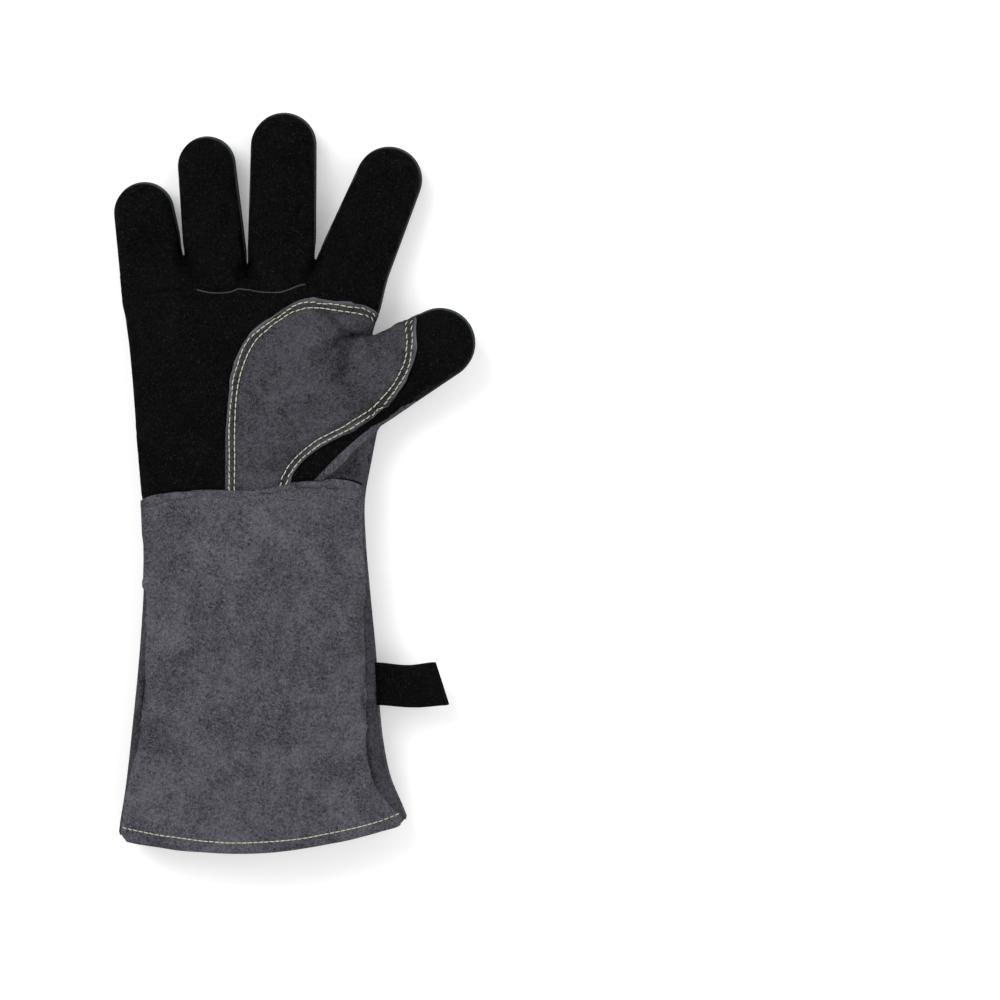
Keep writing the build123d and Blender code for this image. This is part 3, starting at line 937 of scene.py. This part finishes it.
def build_patch():
    """The patch over the palm and thumb, pressed in along its seam and creased at the thumb's crotch."""
    names = {"heel": "patch_heel", "hand": "patch_palm", "index_base": "patch_index",
             "thumb_base": "patch_thumb", "thumb_tip": "patch_thumb_end"}
    gap = np.minimum(*[follow(line, shell[:, :2])[0] for line in patch_edges.values()])
    channel = ease(gap, 1.7, 2.5) * (1 - ease(gap, 4.5, 5.4))
    folds = sum(valley(shell[:, :2], np.array(fold), width)[0] for fold, _, width in PATCH_FOLDS)
    # The patch's own tone, with painted shade in the channel between its stitch rows and along the creases
    patch_tone_and_shade = PATCH_SHADE * (1 - 0.3 * channel) * (1 - 0.36 * np.clip(folds, 0, 1))
    make_layer(on_patch, names, GREY, PATCH_LIFT - 0.3 * channel, -0.1, EDGE_DROP, shade=patch_tone_and_shade,
               worn=0.8 * (1 - ease(gap, 0.1, 0.8)))


def build_lining():
    """The fleece lining inside the leather, and the leather facing at the mouth."""
    from_mouth = cy - mouth_y(cx)
    names = digit_names("lining", cuff="cuff_fleece", heel="heel_fleece", hand="hand_fleece")
    make_layer(from_mouth > LINING_START, names, FLEECE, -LEATHER - LINING_GAP,
               LEATHER + LINING_GAP + LINING, base=(soft_shell, soft_skin))
    on_edge = (from_mouth < FACING) & on_cuff
    make_layer(on_edge, {"cuff": "hem_facing"}, GREY, -LEATHER - 0.1, LEATHER + 1.2)


def on_skin(p, lift):
    """Places in plan brought onto the front of the glove, lift above the skin, and the normals there."""
    flat = np.column_stack([plan, np.zeros(len(plan))])
    tree = BVHTree.FromPolygons(flat.tolist(), plan_faces.tolist())
    places, normals = [], []
    for x, y in p:
        hit = tree.find_nearest(Vector((x, y, 0)))
        face = shell_faces[hit[2]]
        a, b, c = plan[face]
        weight = np.linalg.solve(np.array([[a[0], b[0], c[0]], [a[1], b[1], c[1]], [1, 1, 1]]),
                                 np.array([hit[0][0], hit[0][1], 1]))
        normals.append(unit(weight @ skin[face]))
        places.append(weight @ shell[face] + lift * normals[-1])
    return np.array(places), np.array(normals)


def tube_faces(total, count):
    """Faces of a closed tube of total points, in rings of count."""
    faces = [(j + k, j + (k + 1) % count, j + count + (k + 1) % count, j + count + k)
             for j in range(0, total - count, count) for k in range(count)]
    return [*faces, tuple(range(count))[::-1], tuple(range(total - count, total))]


def make_stitch(place, ahead, up, length):
    """One stitch: a short fat thread that dips into the leather at both ends."""
    ahead = unit(ahead - up * (ahead @ up))
    side = np.cross(up, ahead)
    points = []
    for t in np.linspace(-1, 1, STITCH_RINGS):
        fat = THREAD / 2 * (1 - t * t) ** 0.28 if abs(t) < 1 else THREAD_END
        centre = place + ahead * t * length / 2 + up * (0.42 - 0.62 * t * t) * THREAD
        points += [centre + fat * (side * math.cos(a) + 0.85 * up * math.sin(a)) for a in ROUND]
    return points, tube_faces(len(points), len(ROUND))


def sew(lines, pitch, lift, names):
    """Rows of stitches along lines, one piece for each stretch of the glove."""
    found = {}
    for line in lines:
        steps = resample(line, pitch)
        middles, ways = (steps[1:] + steps[:-1]) / 2, np.diff(steps, axis=0)
        regions = find_regions(middles)
        places, normals = on_skin(middles, lift)
        for place, way, up, region in zip(places, ways, normals, regions):
            length = pitch * STITCH_SHARE * RNG.uniform(0.93, 1.05)
            turn = RNG.uniform(-0.07, 0.07)
            ahead = np.array([way[0] - turn * way[1], way[1] + turn * way[0], 0.0])
            points, faces = found.setdefault(region, ([], []))
            more, quads = make_stitch(place, ahead, up, length)
            faces += [tuple(i + len(points) for i in face) for face in quads]
            points += more
    for region, name in names.items():
        if region in found:
            points, faces = found[region]
            make_piece(name, region, np.array(points), faces, THREAD_PALE)


def build_stitching():
    """The double row round the patch and the row along the hem."""
    rows = []
    for edge in patch_edges.values():
        for row in STITCH_ROWS:
            line = shifted(edge, row)
            inside = (glove_distance(line) < -1.2) & (line[:, 1] > cuff_seam_y(line[:, 0]) + 1.2)
            rows.append(line[inside])
    names = {"heel": "patch_stitches_heel", "hand": "patch_stitches_palm",
             "index_base": "patch_stitches_index", "thumb_base": "patch_stitches_thumb",
             "thumb_tip": "patch_stitches_thumb_end"}
    sew(rows, STITCH_PITCH, PATCH_LIFT, names)
    x = np.arange(-110, 90, 1.0)
    hem = np.stack([x, mouth_y(x) + HEM_ROW - 1.5 * ease(np.abs(x - MOUTH_LOW[0]), 30, 80)], 1)
    hem = hem[glove_distance(hem) < -1.6]
    sew([hem], HEM_PITCH, CUFF_LIFT, {"cuff": "hem_stitches"})


def rim_chain():
    """The side seam's vertices in order, from one corner of the mouth round to the other."""
    ahead = {a: b for a, b in open_edges(plan_faces)}
    start = next(a for a, b in ahead.items() if at_mouth[a] and sewn[b])
    chain = [ahead[start]]
    while sewn[ahead[chain[-1]]]:
        chain.append(ahead[chain[-1]])
    return np.array(chain)


def sweep(name, region, centres, sides, ups, profile, material):
    """A strip with a fixed section along a line."""
    points = [c + s * u + w * v for c, s, w in zip(centres, sides, ups) for u, v in profile]
    make_piece(name, region, np.array(points), tube_faces(len(points), len(profile)), material)


def pipe(name, region, line, lift, width, height, material):
    """A thin round strip that shows along a seam on the front."""
    places, normals = on_skin(line, lift)
    sides = unit(np.cross(normals, np.gradient(places, axis=0)))
    profile = [(width * math.cos(a), height * math.sin(a)) for a in ROUND]
    sweep(name, region, places, sides, normals, profile, material)


def build_side_walls():
    """The leather between two neighbouring fingers, one strip on each of them."""
    across = np.array([1.0, 0.0, 0.0])
    for number, digits in enumerate(zip(FINGERS, FINGERS[1:])):
        line = seams[f"valley_{number}"]
        chosen = np.array([np.argmin(np.hypot(*(plan - p).T)) for p in line])
        top = shell[chosen]
        low = shell[np.where(sewn[chosen], chosen, chosen + len(plan))]
        for digit, side in zip(digits, (-1, 1)):
            end = "right" if side < 0 else "left"
            rings = [top + side * SIDE_WALL[0] * across, low + side * SIDE_WALL[0] * across,
                     low + side * SIDE_WALL[1] * across, top + side * SIDE_WALL[1] * across]
            points = np.stack(rings, 1).reshape(-1, 3)
            points[:, 2] = np.maximum(points[:, 2], SIDE_WALL_LOW)
            make_piece(f"{digit}_{end}_side_wall", digit + "_base", points,
                       tube_faces(len(points), len(rings)), BLACK)


def build_welts():
    """The leather strip sewn into the side seam all round, and the one across two finger roots."""
    chain = rim_chain()
    line, out = plan[chain], gradient(plan[chain])
    out /= np.hypot(*out.T)[:, None]
    centres = shell[chain]
    from_crotch = np.min([np.hypot(*(line - crotch).T) for crotch in CROTCHES], 0)
    open_share = 0.35 + 0.65 * ease(from_crotch, 4, 14)
    regions = find_regions(line - 0.8 * out)
    names = digit_names("welt", cuff="cuff_welt", heel="heel_welt", hand="hand_welt")
    starts = np.nonzero(np.append(True, regions[1:] != regions[:-1]))[0]
    ends = np.append(starts[1:], len(chain) - 1)
    seen = {}
    for first, last in zip(starts, ends):
        region = regions[first]
        number = seen[region] = seen.get(region, 0) + 1
        run = slice(first, last + 1)
        name = names[region] if number == 1 else f"{names[region]}_{number}"
        wide = (1 + 1.4 * np.clip(out[run] @ WELT_SIDE, 0, 1)) * open_share[run]
        sides = np.column_stack([out[run] * wide[:, None], np.zeros(last + 1 - first)])
        ups = np.tile([0.0, 0.0, 1.0], (last + 1 - first, 1))
        # Outside the cuff the strip's colour is painted rim light
        sweep(name, region, centres[run], sides, ups, WELT_SECTION, GREY if region == "cuff" else WELT_AND_RIM_LIGHT)
    # A thin black strip along part of the cuff's top seam
    line = seams["cuff"]
    line = line[(line[:, 0] > CUFF_BLACK_STRIP[0]) & (line[:, 0] < CUFF_BLACK_STRIP[1])] + [0, 0.7]
    pipe("cuff_top_black_strip", "heel", line, lift=0.2, width=0.6, height=0.5, material=BLACK)
    line = seams["knuckles"]
    line = line[(line[:, 0] > ROOT_SEAM[0]) & (line[:, 0] < ROOT_SEAM[1])]
    pipe("finger_root_welt", "hand", line, lift=0.15, width=0.42, height=0.42, material=WELT_AND_RIM_LIGHT)


def loop_line(v):
    """One line along the folded strap, v of the way from its upper edge to its lower one: out from the
    cuff underneath, round the fold, and back on top."""
    end = LOOP_FOLD[0] + v * (LOOP_FOLD[1] - LOOP_FOLD[0])
    t = np.linspace(0, 1, LOOP_ALONG)
    reached = np.minimum(np.minimum(t, 1 - t) / 0.4, 1)
    turn = math.pi * np.clip((t - 0.4) / 0.2, 0, 1)
    x = LOOP_START + (end - LOOP_START - LOOP_GAP) * reached + LOOP_GAP * np.sin(turn)
    u = np.clip((x - LOOP_START) / (end - LOOP_START), 0, 1)
    sag = (LOOP_SAG[0] + v * (LOOP_SAG[1] - LOOP_SAG[0])) * np.sin(math.pi * u ** 1.15) ** 1.6
    slack = LOOP_SLACK * (t < 0.5) * np.sin(math.pi * u) * (1 - v)
    y = LOOP_TOP_Y + v * (LOOP_LOW_Y - LOOP_TOP_Y) - sag + slack
    sway = LOOP_SWAY * np.sin(2 * math.pi * t) * math.sin(math.pi * v + 0.4)
    bow = LOOP_BOW * math.sin(math.pi * v) * reached
    z = LOOP_Z - bow - LOOP_GAP * np.cos(turn) * ease(reached, 0, 0.5) + sway
    return np.column_stack([x, y, z])


def build_loop():
    """The hanging loop: a strap sewn into the cuff's side, folded back on itself."""
    sheet = np.array([loop_line(v) for v in np.linspace(0, 1, LOOP_ACROSS)])
    out = unit(np.cross(np.gradient(sheet, axis=0), np.gradient(sheet, axis=1))) * LOOP_LEATHER / 2
    points = np.vstack([(sheet + out).reshape(-1, 3), (sheet - out).reshape(-1, 3)])
    index = np.arange(LOOP_ACROSS * LOOP_ALONG).reshape(LOOP_ACROSS, LOOP_ALONG)
    quads = np.stack([index[:-1, :-1], index[1:, :-1], index[1:, 1:], index[:-1, 1:]], -1).reshape(-1, 4)
    ring = [*index[0], *index[1:, -1], *index[-1, -2::-1], *index[-2:0:-1, 0]]
    edge = [(a, b, b + index.size, a + index.size) for a, b in zip(ring, ring[1:] + ring[:1])]
    faces = [*quads, *(quads[:, ::-1] + index.size), *edge]
    strap = make_piece("loop_strap", "hanging_loop", points, faces, BLACK)
    bevel = strap.modifiers.new("edge", "BEVEL")
    bevel.width = LOOP_BEVEL * MM
    bevel.segments = 2
    bevel.limit_method = "ANGLE"


build_leather()
build_patch()
build_lining()
build_stitching()
build_side_walls()
build_welts()
build_loop()


# ---- room
def build_floor():
    """Pale floor in two leaves that meet under the wrist, the first with a face that runs down from that
    edge."""
    material = shader("floor_paint", Roughness=0.9, Specular_IOR_Level=0.1, Base_Color=FLOOR_COLOUR,
                      Emission_Color=WHITE, Emission_Strength=FLOOR_GLOW)[0]
    half, edge, low = FLOOR_SIZE / 2, WRIST_BEND[0] * MM, -FLOOR_DROP * MM
    leaves = {"floor": ((-half, 0), (edge, 0), (edge, low)), "floor_under_hand": ((edge, 0), (half, 0))}
    for name, section in leaves.items():
        mesh = bpy.data.meshes.new(name)
        corners = [(x, y, z) for y, z in section for x in (-half, half)]
        faces = [(k, k + 1, k + 3, k + 2) for k in range(0, len(corners) - 2, 2)]
        mesh.from_pydata(corners, [], faces)
        mesh.materials.append(material)
        floor = add_object(name, mesh)
        if name == "floor_under_hand":
            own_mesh(floor)


def build_room():
    """Pale floor, soft light and a camera straight above."""
    build_floor()
    camera = bpy.data.cameras.new("camera")
    camera.sensor_width = 36.0
    camera.lens = camera.sensor_width * (CAMERA_HEIGHT - MIDDLE_HEIGHT) / FRAME_WIDTH
    camera.clip_end = 20
    holder = add_object("camera", camera)
    holder.location = (CAMERA_AT[0] * MM, CAMERA_AT[1] * MM, CAMERA_HEIGHT * MM)
    bpy.context.scene.camera = holder
    for name, (place, size, power) in LAMPS.items():
        lamp = bpy.data.lights.new(name, "AREA")
        lamp.size = size
        lamp.energy = power
        holder = add_object(name, lamp)
        holder.location = place
        holder.rotation_euler = (-Vector(place)).to_track_quat("-Z", "Y").to_euler()
    world = bpy.data.worlds.new("studio")
    world.use_nodes = True
    sky = world.node_tree.nodes["Background"]
    sky.inputs["Color"].default_value = WHITE
    sky.inputs["Strength"].default_value = SKY_LIGHT
    bpy.context.scene.world = world
    bpy.context.scene.view_settings.view_transform = "Standard"


build_room()
